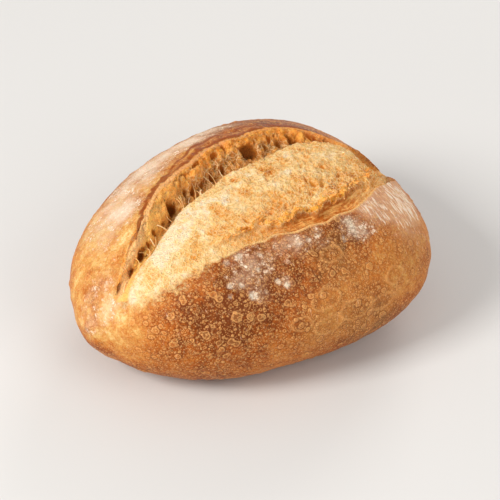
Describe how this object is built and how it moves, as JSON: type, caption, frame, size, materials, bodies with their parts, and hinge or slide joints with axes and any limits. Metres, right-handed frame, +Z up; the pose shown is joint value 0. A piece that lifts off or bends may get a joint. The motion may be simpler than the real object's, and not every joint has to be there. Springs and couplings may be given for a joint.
{
  "type": "bread roll",
  "caption": "Crusty oval bread roll with a blistered, floured crust and one lengthwise score burst open over torn golden crumb, on a flat base.",
  "frame": {"origin": "on the table, under the middle of the roll's outline", "axes": "+X along the roll and its score, towards the wider end; +Y towards the raised ear's side; +Z up"},
  "size_m": [0.1216, 0.1006, 0.0528],
  "materials": {
    "crust": "dry matt baked crust, red-brown to golden, with pale blisters and dusted flour; torn pale-yellow crumb in the opened score"
  },
  "bodies": {
    "root": {"bread_roll": "crust"}
  },
  "joints": []
}
